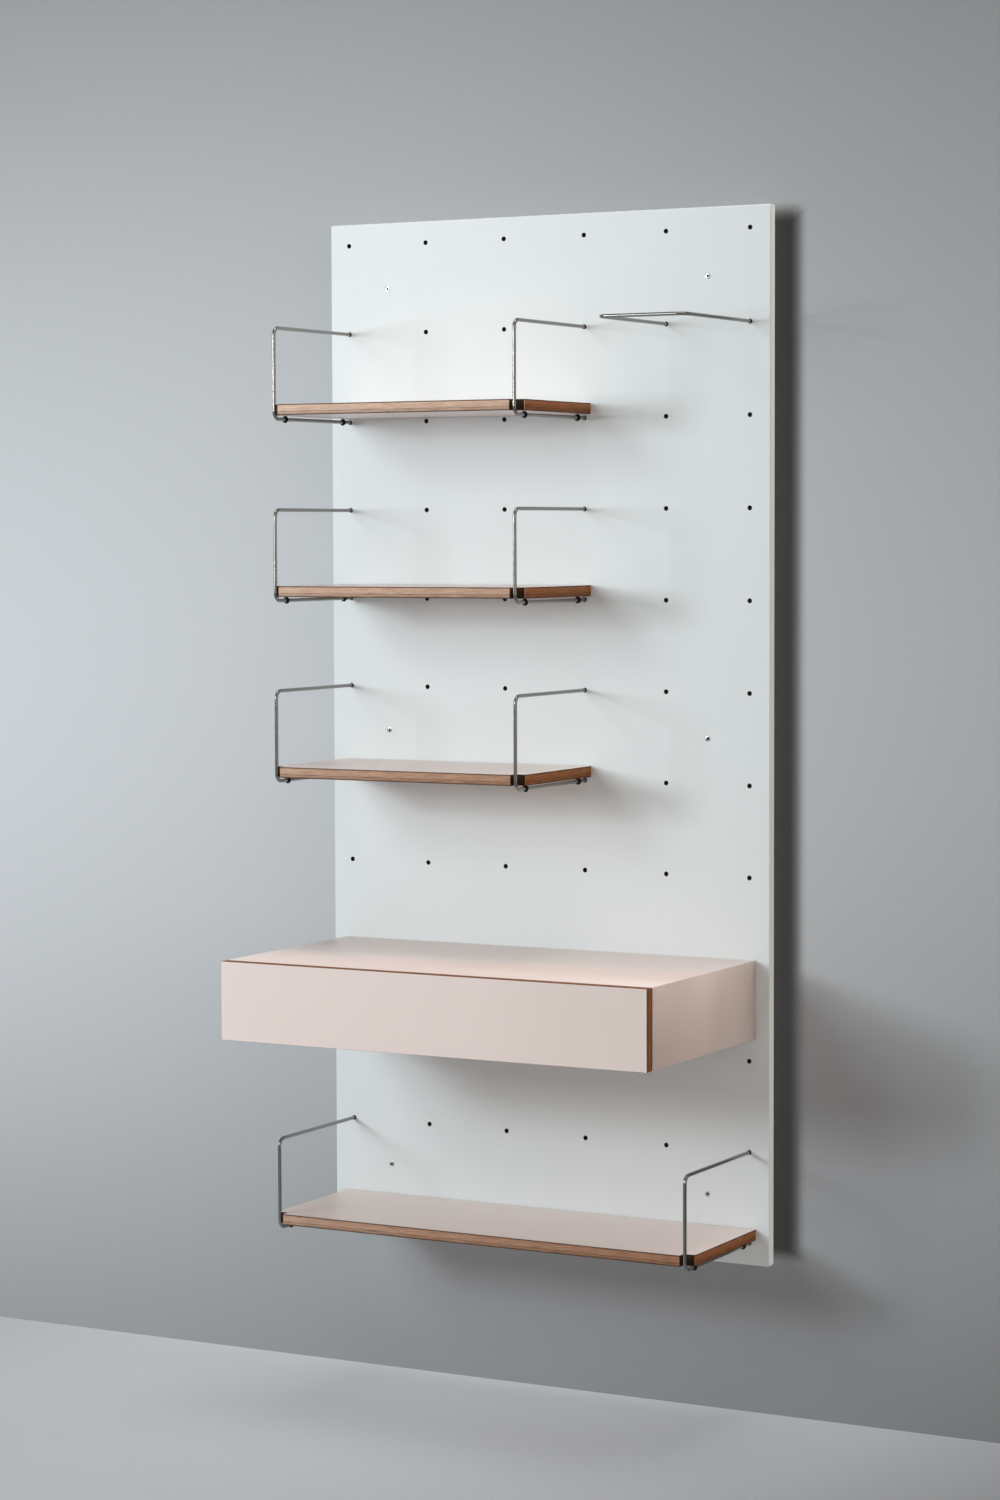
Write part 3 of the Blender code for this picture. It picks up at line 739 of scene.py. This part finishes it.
def birch_edge():
    """The sawn and oiled edge of birch plywood.

    Across the thickness the layers alternate: one shows its long grain,
    the next its end grain, darker and pored, with a broken dark glue line
    between them. `tone` mixes the oiled colour at 0 with a pale one at 1:
    the pale wood of the drawer box, and painted sheen on the fronts of the
    shelves and the case, stronger towards the left. Below 0 is painted
    shade, darker than oiled.
    """
    m = Recipe("birch_edge")
    where = m.node("UVMap", uv_map="distance").outputs[0]
    parts = m.node("SeparateXYZ", Vector=where)
    sway = m.sum("MULTIPLY_ADD", m.noise(14.0, 4.0, 0.6, stretch=(1, 0, 1), where=where),
                 0.0012, parts.outputs[1])
    layer = m.sum("DIVIDE", sway, PLY_LAYER)
    number = m.sum("FLOOR", layer)
    inside = m.sum("FRACT", layer)
    odd = m.sum("FLOORED_MODULO", number, 2.0)
    own = m.node("TexWhiteNoise", noise_dimensions="1D", W=number).outputs[0]
    streaks = m.noise(1.0, 5.0, 0.68, stretch=(26, 1500, 1), where=where)
    pores = m.noise(1.0, 3.0, 0.7, stretch=(900, 1700, 1), where=where)
    dashes = m.ramp(m.noise(1.0, 2.0, 0.6, stretch=(60, 260, 1), where=where),
                    (0.38, 0.0), (0.58, 1.0))
    grain = m.sum("MULTIPLY_ADD", m.sum("SUBTRACT", pores, 0.5),
                  m.sum("MULTIPLY_ADD", odd, -0.35, 0.45), streaks)
    oiled = m.ramp(grain, (0.30, (0.042, 0.011, 0.004)), (0.46, (0.235, 0.078, 0.021)),
                   (0.60, (0.390, 0.152, 0.048)), (0.75, (0.54, 0.250, 0.095)))
    pale_and_sheen_colour = m.ramp(grain, (0.30, (0.27, 0.130, 0.074)), (0.45, (0.76, 0.530, 0.400)),
                  (0.66, (0.92, 0.710, 0.580)))
    spot = m.node("SeparateXYZ", Vector=m.place)
    tone = m.node("Attribute", attribute_name="tone").outputs[2]
    # Painted sheen: the paler colour grows stronger towards the left.
    leftward_sheen = m.sum("MULTIPLY_ADD", spot.outputs[0], 1.5, 1.52)
    pale_and_sheen_share = m.sum("POWER", m.sum("MAXIMUM", tone, 0.0), m.sum("MAXIMUM", leftward_sheen, 0.9))
    wood = m.mix(pale_and_sheen_share, oiled, pale_and_sheen_colour)
    layers = m.sum("MULTIPLY_ADD", own, 0.36, m.sum("MULTIPLY_ADD", odd, 0.14, 0.70))
    edge = m.sum("ABSOLUTE", m.sum("SUBTRACT", inside, 0.5))
    glue = m.node("MapRange", Value=edge, From_Min=0.38, From_Max=0.48).outputs[0]
    glue = m.sum("MULTIPLY", glue, dashes)
    rim = m.sum("ABSOLUTE", m.sum("SUBTRACT", sway, 0.0096))
    rim = m.node("MapRange", Value=rim, From_Min=0.0070, From_Max=0.0078).outputs[0]
    lines = m.sum("MAXIMUM", m.sum("MULTIPLY", glue, 0.72), m.sum("MULTIPLY", rim, 0.62))
    shadow = m.sum("ADD", m.sum("MINIMUM", tone, 0.0), 1.0)
    share = m.sum("MULTIPLY", m.sum("MULTIPLY", layers, shadow),
                  m.sum("SUBTRACT", 1.0, lines))
    wood = m.node("VectorMath", operation="SCALE", Vector=wood, Scale=share).outputs[0]
    relief = m.sum("ADD", m.sum("MULTIPLY", odd, 0.4), m.sum("MULTIPLY", pores, 0.3))
    m.bumps(m.sum("SUBTRACT", relief, glue), 0.00010)
    return m.finish(Base_Color=wood, Roughness=m.between(pores, 0.50, 0.66),
                    Specular_IOR_Level=0.16)


def pink_laminate():
    """Matte high-pressure laminate: a very fine stipple on an even colour."""
    m = Recipe("pink_laminate")
    stipple = m.noise(1900.0, 3.0, 0.6)
    cloud = m.noise(3.5, 3.0)
    m.bumps(stipple, 0.00003)
    return m.finish(Base_Color=m.ramp(cloud, (0.3, (0.800, 0.662, 0.612)),
                                      (0.7, (0.825, 0.686, 0.636))),
                    Roughness=m.between(m.noise(420.0, 3.0), 0.38, 0.48),
                    Specular_IOR_Level=0.5, Coat_Weight=0.80, Coat_Roughness=0.36)


def brown_core():
    """The cut edge of the laminate: dark brown resin and kraft paper."""
    m = Recipe("brown_core")
    fleck = m.noise(900.0, 3.0, 0.6, stretch=(0.3, 0.3, 1))
    m.bumps(fleck, 0.00003)
    return m.finish(Base_Color=m.ramp(fleck, (0.3, (0.050, 0.022, 0.012)),
                                      (0.7, (0.120, 0.058, 0.032))),
                    Roughness=m.between(fleck, 0.5, 0.65), Specular_IOR_Level=0.2)


BIRCH_EDGE = birch_edge()
PINK_LAMINATE = pink_laminate()
BROWN_CORE = brown_core()


def laminate_sheet(name, node, shape, bottom, top, plane, **arrises):
    """Make a sheet of laminate: pink on its faces, brown on its cut edge."""
    edge, faces = slab(*shape, bottom, top, plane, **arrises)
    build(name, [(*edge[:3], 1), faces], [PINK_LAMINATE, BROWN_CORE], body_of(node))


# Painted shade: the notches' upright faces are darkened, a recess the light hardly reaches.
NOTCH_SHADE = -0.85
NOTCH_EASE = 0.0005
# Painted sheen: each shelf's front edge is paler, the more so the higher the shelf.
SHELF_SHEEN = {"top": 0.80, "second": 0.68, "third": 0.50, "wide": 0.44}


def edge_sheen_and_shade(front, rest=0.0, notch=None):
    """The tone of an edge's faces: one on the front, another elsewhere.

    A front paler than the rest is painted sheen on faces towards the room.
    The notches' upright faces get painted shade, darkest. `notch` gives the
    x of the left and the right one's side, and the y of their backs.
    """
    def tone(middle, facing):
        level = np.where(facing[:, 1] < -0.5, front, rest)
        if notch:
            left, right, back = notch
            x, y = middle[:, 0], middle[:, 1]
            cut = ((x < left + NOTCH_EASE) | (x > right - NOTCH_EASE)) & (y < back)
            level = np.where(cut & (facing[:, 2] ** 2 < 0.5), NOTCH_SHADE, level)
        return level
    return tone


for label, tone in SHELF_SHEEN.items():
    node = "shelf_" + label
    low, high = box[node]
    step, side = low[1] + NOTCH_BACK, NOTCH_SIDE + 0.0125
    corners = [(low[0], high[1]), (low[0], step), (low[0] + side, step),
               (low[0] + side, low[1]), (high[0] - side, low[1]),
               (high[0] - side, step), (high[0], step), (high[0], high[1])]
    shape = outline(corners, [0.001, SHELF_CORNER, 0.001, 0.0012, 0.0012, 0.001,
                              SHELF_CORNER, 0.001])
    plane = (X, Y, Z)
    core_low, core_high = low[2] + LAMINATE, high[2] - LAMINATE
    build(f"{node}_plywood", slab(*shape, core_low, core_high, plane), [BIRCH_EDGE],
          body_of(node), [node], uv=(X + Y, Z, (0, low[2])),
          tone=edge_sheen_and_shade(tone, 0.0, (low[0] + side, high[0] - side, step + 0.0008)))
    laminate_sheet(f"{node}_face", node, shape, core_high, high[2], plane,
                   high_arris=SHEET_EASE)
    laminate_sheet(f"{node}_underside", node, shape, low[2], core_low, plane,
                   low_arris=SHEET_EASE)

# ------------------------------------------------------------ drawer case
# Four panels of the same laminated plywood, mitred at the corners so that
# the pink laminate runs over every edge, and a back panel let in between
# them. Two bolts through the board hold it by its top panel.

MITRE_JOINT = 0.00004
case_low = np.minimum(box["case_left"][0], box["case_bottom"][0])
case_high = np.maximum(box["case_right"][1], box["case_top"][1])
wall = box["case_left"][1][0] - box["case_left"][0][0]


def mitred(side, outer, inner):
    """Section of one layer of a mitred panel, from depth outer to depth inner.

    Seen from the room, anticlockwise. Each layer's ends follow the mitre.
    """
    gap = MITRE_JOINT
    left, right = case_low[0], case_high[0]
    foot, top = case_low[2], case_high[2]
    if side in ("top", "bottom"):
        edge, way = (top, -1) if side == "top" else (foot, 1)
        section = [(left + outer + gap, edge + way * outer),
                   (left + inner + gap, edge + way * inner),
                   (right - inner - gap, edge + way * inner),
                   (right - outer - gap, edge + way * outer)]
        return section if side == "top" else section[::-1]
    edge, way = (left, 1) if side == "left" else (right, -1)
    section = [(edge + way * outer, foot + outer), (edge + way * inner, foot + inner),
               (edge + way * inner, top - inner), (edge + way * outer, top - outer)]
    return section if side == "left" else section[::-1]


across_panel = {"top": (X + Y, -Z, (0, -case_high[2])), "bottom": (X + Y, Z, (0, case_low[2])),
                "left": (Z + Y, X, (0, case_low[0])), "right": (Z + Y, -X, (0, -case_high[0]))}
for side in ("top", "bottom", "left", "right"):
    node = "case_" + side
    low, high = box[node]
    span = (low[1], high[1], (X, Z, Y))
    layers = {"laminate": (0, LAMINATE, PINK_LAMINATE, "pink_laminate"),
              "plywood": (LAMINATE, wall - LAMINATE, BIRCH_EDGE, "birch_ply"),
              "lining": (wall - LAMINATE, wall, PINK_LAMINATE, "pink_laminate")}
    for layer, (outer, inner, material, slot) in layers.items():
        shape = outline(mitred(side, outer, inner), 0.00006, 2)
        build(f"{node}_{layer}", slab(*shape, *span), [material], body_of(node),
              [node] if layer == "plywood" else (),
              uv=across_panel[side] if layer == "plywood" else None,
              tone=edge_sheen_and_shade(0.2) if layer == "plywood" else None)


def framed(low, high, plane, radius=0.0006):
    """Rectangle between two corners, in a plane's own two directions."""
    u, v, w = plane
    a, b = np.array([low @ u, low @ v]), np.array([high @ u, high @ v])
    return outline([a, (b[0], a[1]), b, (a[0], b[1])], radius)


low, high = box["case_back"]
facing = (X, Z, Y)
build("case_back_panel", slab(*framed(low, high, facing), low[1], high[1], facing,
                              0.0004, 0.0004),
      [PINK_LAMINATE], body_of("case_back"), ["case_back"])

# ------------------------------------------------------------ case bolts
# Two zinc plated bolts hold the case by its top panel, through the board
# from behind. They have button heads with a hexagonal socket.

for label in ("left", "right"):
    node = "case_bolt_" + label
    low, high = box[node]
    middle = (low + high) / 2
    head = (high[0] - low[0]) / 2
    shank, seat, top = 0.003, board_high[1], high[1]
    height = top - seat
    dome = rounded(0.0016, 4)
    profile = np.concatenate([
        [(0, top - 0.0026), (0.0020, top - 0.0026), (0.0020, top - 0.0002), (0.0022, top)],
        dome * (1, -1) + (head - 0.0016, top),
        [(head, seat + 0.0003), (head - 0.0003, seat), (shank, seat), (shank, low[1] + 0.0005),
         (shank - 0.0005, low[1]), (0, low[1])]])
    build("button_bolt_" + label, [(*socket_head(profile, middle, 48), True, 0)],
          [ZINC_STEEL], body_of(node), [node], sharp=35)

# ------------------------------------------------------------ drawer front
# An overlaid front of 18 mm laminated plywood, as wide and high as the case.
# Its edges show the oiled plies all round.

node = "drawer_front"
low, high = box[node]
shape = framed(low, high, facing, 0.0008)
build("drawer_front_plywood",
      slab(*shape, low[1] + LAMINATE, high[1] - LAMINATE, facing),
      [BIRCH_EDGE], body_of(node), [node],
      uv=(X + Z, Y, (0, low[1])), tone=edge_sheen_and_shade(0.0))
laminate_sheet("drawer_front_face", node, shape, low[1], low[1] + LAMINATE, facing,
               low_arris=SHEET_EASE)
laminate_sheet("drawer_front_inside", node, shape, high[1] - LAMINATE, high[1], facing,
               high_arris=SHEET_EASE)

# ------------------------------------------------------------ drawer box
# Four sides and a floor of birch plywood, clear lacquered, with their top
# arrises sanded round.

BOX_ARRIS = 0.0010


def birch_face(name, grain):
    """Clear lacquered birch veneer, its grain along one direction."""
    m = Recipe(name)
    stretch = tuple(1.2 if k == grain else 34.0 for k in range(3))
    fine = tuple(14.0 if k == grain else 900.0 for k in range(3))
    figure = m.noise(1.0, 4.0, 0.55, stretch=stretch)
    fibre = m.noise(1.0, 3.0, 0.6, stretch=fine)
    both = m.sum("ADD", m.sum("MULTIPLY", figure, 0.7), m.sum("MULTIPLY", fibre, 0.3))
    m.bumps(fibre, 0.00004)
    return m.finish(Base_Color=m.ramp(both, (0.28, (0.46, 0.31, 0.185)),
                                      (0.5, (0.63, 0.46, 0.30)), (0.74, (0.73, 0.57, 0.40))),
                    Roughness=m.between(fibre, 0.38, 0.52))


BIRCH_ALONG = birch_face("birch_face_along", 1)
BIRCH_ACROSS = birch_face("birch_face_across", 0)
sideways, flat_down = (Y, Z, X), (X, Y, Z)
box_panels = {"drawer_side_left": (sideways, BIRCH_ALONG),
              "drawer_side_right": (sideways, BIRCH_ALONG),
              "drawer_back": (facing, BIRCH_ACROSS),
              "drawer_floor": (flat_down, BIRCH_ACROSS)}
for node, (plane, veneer) in box_panels.items():
    low, high = box[node]
    start, end = low @ plane[2], high @ plane[2]
    edge, faces = slab(*framed(low, high, plane), start, end, plane, BOX_ARRIS, BOX_ARRIS)
    build(node.replace("drawer_", "box_") + "_panel",
          [(edge[0], edge[1], True, 1), (faces[0], faces[1], False, 0)],
          [veneer, BIRCH_EDGE], body_of(node), [node],
          uv=(plane[0] + plane[1], plane[2], (0, start)), tone=edge_sheen_and_shade(0.85, 0.85))

# ------------------------------------------------------------ runners
# Cold-rolled zinc plated channels: a fixed one on each side of the case and
# a smaller one on the drawer, nested in it and running on balls.

SHEET = 0.0015


def rolled_channel(low, high, opens):
    """Section of a channel bent from sheet, with rounded bends.

    Seen from the room, anticlockwise, open to the side given.
    """
    x0, x1 = (low[0], high[0]) if opens > 0 else (high[0], low[0])
    z0, z1, t = low[2], high[2], SHEET
    s = opens
    corners = [(x0, z0), (x1, z0), (x1, z0 + t), (x0 + s * t, z0 + t),
               (x0 + s * t, z1 - t), (x1, z1 - t), (x1, z1), (x0, z1)]
    radii = [0.0018, 0.0005, 0.0005, 0.0009, 0.0009, 0.0005, 0.0005, 0.0018]
    if s < 0:
        corners, radii = corners[::-1], radii[::-1]
    return outline(corners, radii, 4)


for kind, faces_out in (("fixed", 1), ("sliding", -1)):
    for label, sign in (("left", -1), ("right", 1)):
        node = f"runner_{kind}_{label}"
        low, high = box[node]
        shape = rolled_channel(low, high, -sign * faces_out)
        build(f"channel_{kind}_{label}", slab(*shape, low[1], high[1], facing),
              [ZINC_STEEL], body_of(node), [node], sharp=30)

# ------------------------------------------------------------ push latch
# A grey moulded latch on the case back with a sprung plunger: a push on the
# front lets the drawer out.


def grey_plastic():
    """Moulded grey plastic with a fine even grain."""
    m = Recipe("grey_plastic")
    grain = m.noise(1300.0, 2.0)
    m.bumps(grain, 0.00003)
    return m.finish(Base_Color=m.ramp(grain, (0.3, (0.165, 0.166, 0.172)),
                                      (0.7, (0.200, 0.202, 0.208))),
                    Roughness=m.between(m.noise(80.0), 0.36, 0.48))


GREY_PLASTIC = grey_plastic()
low, high = box["push_latch_body"]
middle = (low + high) / 2
outer, bore = (high[0] - low[0]) / 2, 0.0039
rim = rounded(0.0010, 4)
mouth = rounded(0.0004, 2)
body_profile = np.concatenate([
    [(0, low[1] + 0.011), (bore, low[1] + 0.011)],
    (mouth * (-1, 1))[::-1] + (bore + 0.0004, low[1]), rim + (outer - 0.001, low[1]),
    [(outer, high[1] - 0.003), (outer, high[1]), (0, high[1])]])
build("latch_body", [(*turned(body_profile, middle, 40), True, 0)], [GREY_PLASTIC],
      body_of("push_latch_body"), ["push_latch_body"], sharp=35)
low, high = box["push_latch_plunger"]
radius = (high[0] - low[0]) / 2
tip = rounded(0.0012, 5)
plunger_profile = np.concatenate([[(0, low[1])], tip + (radius - 0.0012, low[1]),
                                  [(radius, high[1] - 0.0003), (radius - 0.0003, high[1]),
                                   (0, high[1])]])
build("latch_plunger_pin", [(*turned(plunger_profile, middle, 40), True, 0)],
      [GREY_PLASTIC], body_of("push_latch_plunger"),
      ["push_latch_plunger"], sharp=35)

# ------------------------------------------------------------ room
# A pale floor and a grey wall, whose paint carries painted light falloff,
# with a painted shadow on the wall behind the board. From behind, the wall
# lets the camera and the light through, so that the back of the board can
# be seen.

FLOOR_BELOW = 0.255
ROOM_REACH = 9.0
ROOM_HEIGHT = 6.0
# Painted shadow on the wall behind the board: its darkest shade and its edges.
PATCH_SHADE = 0.18
PATCH_EDGES = {0: (0.014, 0.411, 0.448), 2: (0.86, 0.835, 0.862)}


def painted(name, paint, rough, up, light_falloff):
    """Flat paint with a faint roller texture, clear from its back side.

    The paint carries painted light: it darkens away from its lightest spot,
    by e to the power of (a + b x + c u + d x x + e u u + f x u + g u u u u),
    with as many terms as the last argument gives. `up` is the direction of
    u: 1 on the floor, 2 on the wall. On the wall a painted shadow is darkest
    in a patch behind the board, whose middle, fade start and fade end are
    PATCH_EDGES, along x and along z.
    """
    m = Recipe(name)
    spot = m.node("SeparateXYZ", Vector=m.place)
    x = m.node("Clamp", Value=spot.outputs[0], Min=-1.6, Max=1.4).outputs[0]
    u = m.node("Clamp", Value=spot.outputs[up], Min=-1.4, Max=2.2).outputs[0]
    power = light_falloff[0]
    terms = (x, u, m.sum("MULTIPLY", x, x), m.sum("MULTIPLY", u, u),
             m.sum("MULTIPLY", x, u), m.sum("POWER", m.sum("ABSOLUTE", u), 4.0))
    for share, value in zip(light_falloff[1:], terms):
        power = m.sum("MULTIPLY_ADD", value, share, power)
    shade = m.sum("EXPONENT", power)
    if up == 2:
        edges = []
        for axis, (middle, near, far) in PATCH_EDGES.items():
            away = m.sum("ABSOLUTE", m.sum("SUBTRACT", spot.outputs[axis], middle))
            edges.append(m.node("MapRange", interpolation_type="SMOOTHSTEP", Value=away,
                                From_Min=near, From_Max=far).outputs[0])
        patch = m.between(m.sum("MAXIMUM", *edges), PATCH_SHADE, 1.0)
        shade = m.sum("MULTIPLY", shade, patch)
    tinted = m.node("VectorMath", operation="SCALE", Vector=paint, Scale=shade).outputs[0]
    m.bumps(m.noise(340.0, 3.0), 0.0002)
    m.finish(Base_Color=tinted, Roughness=rough)
    clear = m.tree.nodes.new("ShaderNodeBsdfTransparent")
    behind = m.tree.nodes.new("ShaderNodeNewGeometry").outputs["Backfacing"]
    either = m.node("MixShader", in0=behind, in1=m.shader.outputs[0], in2=clear.outputs[0])
    m.tree.links.new(either.outputs[0], m.tree.nodes["Material Output"].inputs[0])
    return m.material


def plane_of(name, corners, material):
    """One flat face of the room."""
    mesh = bpy.data.meshes.new(name)
    mesh.from_pydata([tuple(c) for c in corners], [], [(0, 1, 2, 3)])
    mesh.materials.append(material)
    obj = bpy.data.objects.new(name, mesh)
    bpy.context.scene.collection.objects.link(obj)
    return obj


floor_z = cad_low[2] - FLOOR_BELOW
wall_y = 0.0002
# The last numbers of each paint give its painted light falloff.
wall_paint = painted("wall_paint", (0.422, 0.430, 0.443), 0.5, 2,
                     (-0.2000, -0.1700, 0.9700, -0.0069, -0.5960, 0.0544, 0.0171))
floor_paint = painted("floor_paint", (0.690, 0.735, 0.785), 0.6, 1,
                      (-0.1100, -0.3100, 0.3300, -0.4200))
far = ROOM_REACH
wall_face = plane_of("studio_wall", [(-far, wall_y, floor_z), (far, wall_y, floor_z),
                                     (far, wall_y, ROOM_HEIGHT), (-far, wall_y, ROOM_HEIGHT)],
                     wall_paint)
floor_face = plane_of("studio_floor", [(-far, -far, floor_z), (far, -far, floor_z),
                                       (far, far, floor_z), (-far, far, floor_z)], floor_paint)
for face in (wall_face, floor_face):
    face.visible_shadow = False
wall_face.visible_diffuse = False

# ------------------------------------------------------------ light, camera
# A small soft light and a larger one from the left, one from above for the
# shelves' tops, a dim one from behind, and a fill that is warmest at the
# sides. The camera stands to the right of the board.

scene = bpy.context.scene
scene.view_settings.view_transform = "Standard"


def soft_light(name, place, target, size, power, colour=(1, 1, 1)):
    """A square area light turned towards a point."""
    light = bpy.data.lights.new(name, "AREA")
    light.shape, light.size = "SQUARE", size
    light.energy, light.color = power, colour
    obj = bpy.data.objects.new(name, light)
    scene.collection.objects.link(obj)
    obj.location = place
    obj.rotation_euler = (Vector(target) - Vector(place)).to_track_quat("-Z", "Y").to_euler()
    return obj


soft_light("key_light", (-2.6, -3.7, 1.55), (-0.2, 0.0, 0.8), 0.8, 68, (0.87, 0.94, 1.0))
soft_light("wide_light", (-2.7, -4.9, 2.9), (-0.2, 0.0, 0.8), 2.1, 104, (0.85, 0.965, 1.0))
soft_light("top_light", (0.2, -0.5, 6.0), (0.0, -0.2, 0.8), 2.5, 104, (1.0, 0.96, 0.94))
soft_light("rear_light", (1.5, 3.4, 2.2), (0.0, 0.0, 0.8), 2.0, 22)
world = bpy.data.worlds.new("room_light")
scene.world = world
world.use_nodes = True
nodes, links = world.node_tree.nodes, world.node_tree.links
direction = nodes.new("ShaderNodeTexCoord")
apart = nodes.new("ShaderNodeSeparateXYZ")
sideways_share = nodes.new("ShaderNodeMapRange")
sideways_share.inputs["From Min"].default_value = -1.0
walls = nodes.new("ShaderNodeValToRGB")
links.new(direction.outputs["Generated"], apart.inputs[0])
links.new(apart.outputs[0], sideways_share.inputs[0])
links.new(sideways_share.outputs[0], walls.inputs[0])
links.new(walls.outputs[0], nodes["Background"].inputs[0])
walls.color_ramp.elements.new(0.5)
for stop, colour in zip(walls.color_ramp.elements, [(0.44, 0.35, 0.27), (0.052, 0.060, 0.070),
                                                    (1.18, 1.05, 0.94)]):
    stop.color = (*colour, 1)

camera = bpy.data.cameras.new("camera")
camera.lens = 84.795
camera.sensor_width = 36.0
view_point = bpy.data.objects.new("camera", camera)
scene.collection.objects.link(view_point)
view_point.location = (2.7437, -5.2621, 1.2033)
view_point.rotation_euler = tuple(math.radians(a) for a in (86.4215, 0.1893, 28.4472))
scene.camera = view_point
